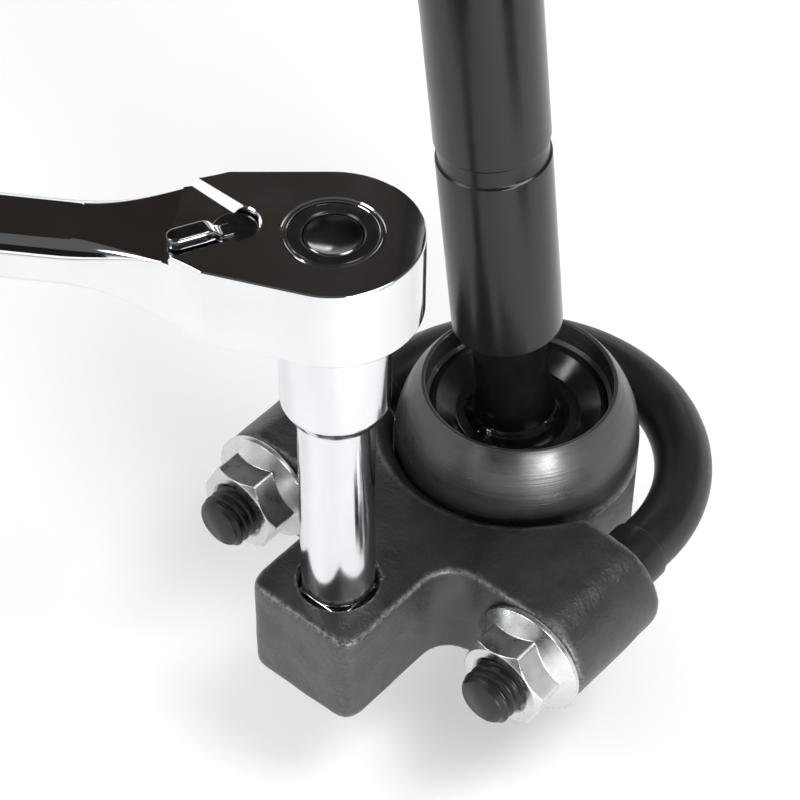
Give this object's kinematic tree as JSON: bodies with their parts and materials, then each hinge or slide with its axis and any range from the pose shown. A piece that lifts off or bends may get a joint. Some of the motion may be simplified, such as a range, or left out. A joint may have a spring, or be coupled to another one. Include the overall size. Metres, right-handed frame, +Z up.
{
  "type": "inner tie rod clamp wrench",
  "caption": "Cast jaw and U-bolt clamp with nuts, closed on a ball-joint tie rod and turned by a square-drive ratchet through an extension bar.",
  "frame": {"origin": "on the ball-joint housing's axis, where its lower face seats against the steering rack", "axes": "+Z up along the housing's axis and the drive axis, +Y from the drive axis towards the housing's axis, +X to the right seen from the nuts"},
  "size_m": [0.2489, 0.2353, 0.3266],
  "materials": {
    "cast_black": "sand-cast, black coated",
    "bolt_black": "black oxide, satin",
    "zinc": "zinc plated",
    "chrome": "polished chrome",
    "satin_steel": "satin",
    "bearing_steel": "polished",
    "spring_steel": "drawn wire",
    "black_bezel": "moulded",
    "dark_button": "black chrome, polished",
    "tool_steel": "ground",
    "black_chrome": "black chrome, polished",
    "housing_black": "machined, black phosphate",
    "race_dark": "oiled",
    "seat_polymer": "moulded acetal",
    "rod_gloss": "gloss black paint"
  },
  "bodies": {
    "housing": {"socket_housing": "housing_black", "ball_race": "race_dark", "preload_spring": "spring_steel"},
    "seat": {"ball_seat": "seat_polymer"},
    "tie_rod": {"tie_rod": "rod_gloss"},
    "clamp": {"jaw_casting": "cast_black"},
    "bolt": {"u_bolt": "bolt_black"},
    "nut_left": {"flange_nut_left": "zinc"},
    "nut_right": {"flange_nut_right": "zinc"},
    "extension": {"extension_bar": "chrome", "extension_detent_spring": "spring_steel"},
    "extension_ball": {"extension_detent_ball": "bearing_steel"},
    "drive": {"drive_gear": "chrome", "button_bezel": "black_bezel", "release_spring": "spring_steel"},
    "button": {"release_button": "dark_button"},
    "ball": {"drive_ball": "bearing_steel"},
    "ratchet": {"ratchet_body": "chrome", "ratchet_cover": "satin_steel", "cover_screws": "satin_steel"},
    "lever": {"reversing_lever": "black_chrome", "pawl_spring": "spring_steel"},
    "plunger": {"pawl_plunger": "tool_steel"},
    "pawl": {"pawl": "tool_steel"}
  },
  "joints": [
    {"name": "rod_spin", "type": "hinge", "parent": "housing", "child": "seat", "pos_m": [0, 0, 0.0312], "axis": [0, 0, 1], "continuous": true},
    {"name": "rod_tilt", "type": "hinge", "parent": "seat", "child": "tie_rod", "pos_m": [0, 0, 0.0312], "axis": [0.6414, -0.7672, 0], "range_deg": [-15.5, 4.5]},
    {"name": "clamp_lift", "type": "slide", "parent": "housing", "child": "clamp", "axis": [0, 0, 1], "range_m": [0, 0.025]},
    {"name": "bolt_slide", "type": "slide", "parent": "clamp", "child": "bolt", "axis": [0, 1, 0], "range_m": [0, 0.01]},
    {"name": "nut_left_spin", "type": "hinge", "parent": "clamp", "child": "nut_left", "pos_m": [-0.0378, -0.047, 0.022], "axis": [0, -1, 0], "range_deg": [0, 1850]},
    {"name": "nut_right_spin", "type": "hinge", "parent": "clamp", "child": "nut_right", "pos_m": [0.0378, -0.047, 0.022], "axis": [0, -1, 0], "range_deg": [0, 1850]},
    {"name": "extension_pull", "type": "slide", "parent": "clamp", "child": "extension", "axis": [0, 0, 1], "range_m": [0, 0.012]},
    {"name": "extension_ball_press", "type": "slide", "parent": "extension", "child": "extension_ball", "axis": [-1, 0, 0], "range_m": [0, 0.0006], "stiffness_N_per_m": 1500, "springref_m": -0.0008, "deforming": ["extension_detent_spring"]},
    {"name": "ratchet_pull", "type": "slide", "parent": "extension", "child": "drive", "axis": [0, 0, 1], "range_m": [0, 0.012]},
    {"name": "button_press", "type": "slide", "parent": "drive", "child": "button", "axis": [0, 0, -1], "range_m": [0, 0.0025], "stiffness_N_per_m": 2000, "springref_m": -0.003, "deforming": ["release_spring"]},
    {"name": "drive_ball_retract", "type": "slide", "parent": "drive", "child": "ball", "axis": [-1, 0, 0], "range_m": [0, 0.0006]},
    {"name": "ratchet_swing", "type": "hinge", "parent": "drive", "child": "ratchet", "pos_m": [0, -0.0611, 0.1255], "axis": [0, 0, 1], "range_deg": [-65, 180]},
    {"name": "lever_turn", "type": "hinge", "parent": "ratchet", "child": "lever", "pos_m": [-0.01564, -0.07099, 0.1255], "axis": [0, 0, 1], "range_deg": [-62, 0]},
    {"name": "plunger_push", "type": "slide", "parent": "lever", "child": "plunger", "axis": [-0.4493, -0.8934, 0], "range_m": [0, 0.0008], "stiffness_N_per_m": 800, "springref_m": -0.001, "deforming": ["pawl_spring"]},
    {"name": "pawl_rock", "type": "hinge", "parent": "ratchet", "child": "pawl", "pos_m": [0, -0.0611, 0.1255], "axis": [0, 0, 1], "range_deg": [-6, 0]}
  ],
  "couplings": [
    {"joint": "nut_left_spin", "follows": "bolt_slide", "rad_per_m": 3215.8},
    {"joint": "nut_right_spin", "follows": "bolt_slide", "rad_per_m": 3215.8},
    {"joint": "drive_ball_retract", "follows": "button_press", "ratio": 0.24},
    {"joint": "pawl_rock", "follows": "lever_turn", "ratio": 0.096774}
  ]
}
